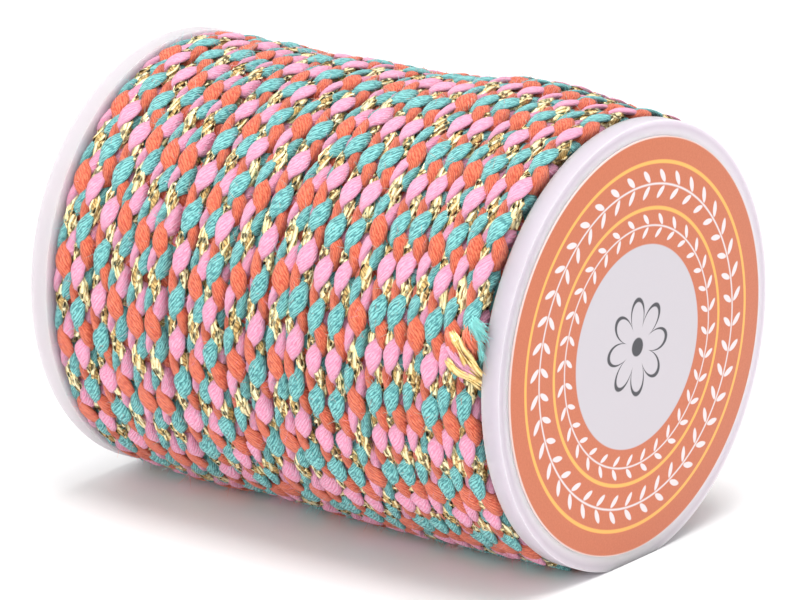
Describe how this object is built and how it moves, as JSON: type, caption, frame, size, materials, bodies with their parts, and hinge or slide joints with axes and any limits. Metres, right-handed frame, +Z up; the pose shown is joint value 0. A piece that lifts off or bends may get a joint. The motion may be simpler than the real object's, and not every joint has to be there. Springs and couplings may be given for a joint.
{
  "type": "spool of braided cotton cord",
  "caption": "Small flanged plastic spool wound with four-strand braided cotton cord that has a metallic strand, with a round paper label.",
  "frame": {"origin": "middle of the two flat spots on the flanges that the spool rests on, below the middle of its length", "axes": "+Z up, +X along the spool's axis towards the labelled flange, +Y away from the side where the cord's free end comes down"},
  "size_m": [0.0362, 0.0282, 0.0278],
  "materials": {
    "milky_plastic": "smooth, slightly see-through",
    "printed_paper": "satin printed paper",
    "braided_cord": "braided cotton yarn with one metallic strand"
  },
  "bodies": {
    "root": {"spool": "milky_plastic", "label": "printed_paper", "winding": "braided_cord", "cord_end": "braided_cord"}
  },
  "joints": []
}
